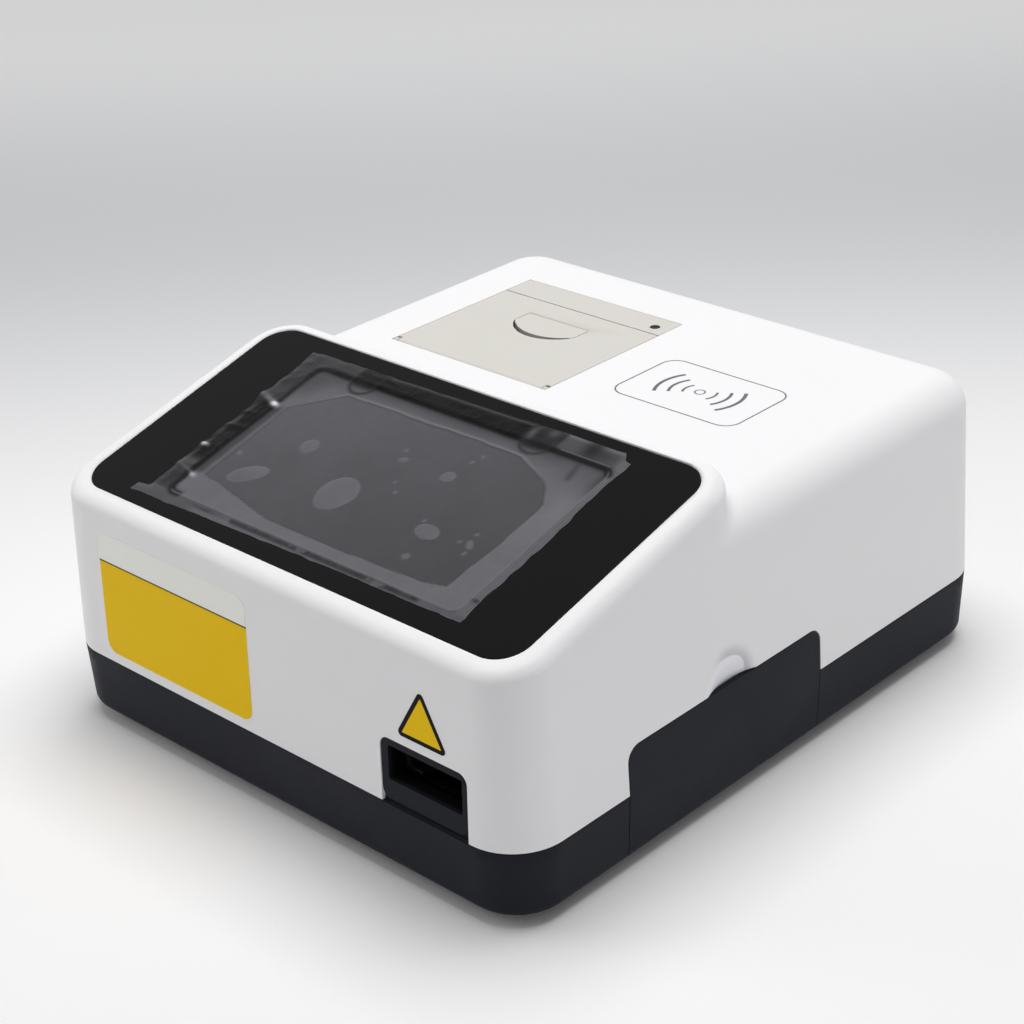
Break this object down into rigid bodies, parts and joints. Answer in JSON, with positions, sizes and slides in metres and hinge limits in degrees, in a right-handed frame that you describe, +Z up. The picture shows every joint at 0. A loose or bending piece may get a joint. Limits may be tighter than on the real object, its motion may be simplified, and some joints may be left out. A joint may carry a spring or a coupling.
{
  "type": "rapid test reader",
  "caption": "Bench reader for lateral-flow test cassettes: white sloped case on a dark tray, tilted touch screen, motorised cassette slot, panel printer in the deck and a flip-down door.",
  "frame": {"origin": "on the table under the middle of the case, at the bottom of the feet", "axes": "+X to the right seen from the front, +Y to the back, +Z up"},
  "size_m": [0.24, 0.27, 0.1256],
  "materials": {
    "case_white": "fine spark-textured white moulding",
    "tray_charcoal": "fine-textured charcoal moulding",
    "printer_beige": "satin warm-grey moulding",
    "dark_plastic": "plain black moulding",
    "screen_glass": "black-printed cover glass, polished",
    "clear_film": "crumpled self-adhesive protective film",
    "lens_glass": "clear polished",
    "sheet_steel": "zinc-plated sheet",
    "bright_steel": "ground and polished",
    "soft_aluminium": "extruded, plain",
    "black_aluminium": "black anodised",
    "turned_brass": "turned",
    "soft_rubber": "matt moulded",
    "board_green": "solder-resisted circuit board",
    "white_acetal": "moulded gear plastic",
    "wrap_blue": "shrink film",
    "roll_paper": "smooth thermal paper",
    "core_card": "spiral-wound tube",
    "label_yellow": "printed film label",
    "head_ceramic": "glazed strip"
  },
  "bodies": {
    "housing": {"upper_case": "case_white", "lower_case": "tray_charcoal", "case_screws": "sheet_steel", "rubber_feet": "soft_rubber", "slot_bezel": "tray_charcoal", "front_sticker": "label_yellow", "slot_sticker": "label_yellow", "door_hinge_pins": "bright_steel", "bay_liner": "tray_charcoal", "battery_pack": "wrap_blue", "battery_connector": "dark_plastic", "display_glass": "screen_glass", "screen_film": "clear_film", "lcd_module": "sheet_steel", "display_bracket": "sheet_steel", "display_screws": "sheet_steel", "antenna_board": "board_green", "drive_chassis": "sheet_steel", "chassis_screws": "sheet_steel", "guide_rods": "bright_steel", "screw_bearing": "turned_brass", "drive_motor": "sheet_steel", "home_sensor": "dark_plastic", "optics_bridge": "sheet_steel", "optical_head": "black_aluminium", "excitation_lamp": "dark_plastic", "head_lens": "lens_glass", "detector_board": "board_green", "main_board": "board_green", "board_screws": "sheet_steel", "usb_ports": "sheet_steel", "lan_port": "sheet_steel", "dc_jack": "dark_plastic", "rocker_frame": "dark_plastic", "speaker": "dark_plastic", "printer_frame": "printer_beige", "lid_hinge_pin": "bright_steel", "idler_stud": "bright_steel", "feed_motor": "sheet_steel", "print_head": "head_ceramic", "head_heatsink": "soft_aluminium", "tear_bar": "sheet_steel", "feed_switch": "dark_plastic"},
    "carrier": {"cassette_carrier": "dark_plastic", "carrier_nut": "turned_brass"},
    "screw": {"lead_screw": "bright_steel"},
    "door": {"side_door": "tray_charcoal"},
    "lid": {"printer_lid": "printer_beige", "lever_pin": "bright_steel"},
    "lever": {"lift_lever": "printer_beige"},
    "platen": {"platen_shaft": "bright_steel", "platen_roller": "soft_rubber", "platen_gear": "white_acetal"},
    "idler": {"idler_gear": "white_acetal"},
    "pinion": {"motor_pinion": "turned_brass"},
    "roll": {"paper_roll": "roll_paper", "paper_core": "core_card"},
    "button": {"feed_button": "dark_plastic"},
    "rocker": {"power_rocker": "dark_plastic"}
  },
  "joints": [
    {"name": "carrier_slide", "type": "slide", "parent": "housing", "child": "carrier", "axis": [0, -1, 0], "range_m": [0, 0.045]},
    {"name": "screw_spin", "type": "hinge", "parent": "housing", "child": "screw", "pos_m": [0.0778, 0, 0.0389], "axis": [0, 1, 0], "range_deg": [-10, 2035]},
    {"name": "side_door_hinge", "type": "hinge", "parent": "housing", "child": "door", "pos_m": [0.11484, -0.0271, 0.008], "axis": [0, 1, 0], "range_deg": [0, 85]},
    {"name": "printer_lid_hinge", "type": "hinge", "parent": "housing", "child": "lid", "pos_m": [-0.0446, 0.01805, 0.1108], "axis": [1, 0, 0], "range_deg": [0, 85]},
    {"name": "lift_lever_hinge", "type": "hinge", "parent": "lid", "child": "lever", "pos_m": [-0.0446, 0.06945, 0.1115], "axis": [-1, 0, 0], "range_deg": [0, 30]},
    {"name": "paper_roll_spin", "type": "hinge", "parent": "housing", "child": "roll", "pos_m": [-0.0446, 0.04595, 0.08], "axis": [1, 0, 0], "continuous": true},
    {"name": "platen_spin", "type": "hinge", "parent": "lid", "child": "platen", "pos_m": [-0.0446, 0.07605, 0.1031], "axis": [1, 0, 0], "continuous": true},
    {"name": "idler_spin", "type": "hinge", "parent": "housing", "child": "idler", "pos_m": [-0.0066, 0.07605, 0.0887], "axis": [1, 0, 0], "continuous": true},
    {"name": "pinion_spin", "type": "hinge", "parent": "housing", "child": "pinion", "pos_m": [-0.0066, 0.08408, 0.07978], "axis": [1, 0, 0], "continuous": true},
    {"name": "feed_button_press", "type": "slide", "parent": "housing", "child": "button", "axis": [0, 0, -1], "range_m": [0, 0.0006], "stiffness_N_per_m": 300, "springref_m": -0.001},
    {"name": "power_rocker_tilt", "type": "hinge", "parent": "housing", "child": "rocker", "pos_m": [0.066, 0.1289, 0.018], "axis": [0, 0, 1], "range_deg": [0, 16]}
  ],
  "couplings": [
    {"joint": "screw_spin", "follows": "carrier_slide", "rad_per_m": 785.4},
    {"joint": "platen_spin", "follows": "paper_roll_spin", "ratio": 5},
    {"joint": "idler_spin", "follows": "paper_roll_spin", "ratio": -3},
    {"joint": "pinion_spin", "follows": "paper_roll_spin", "ratio": 9}
  ]
}
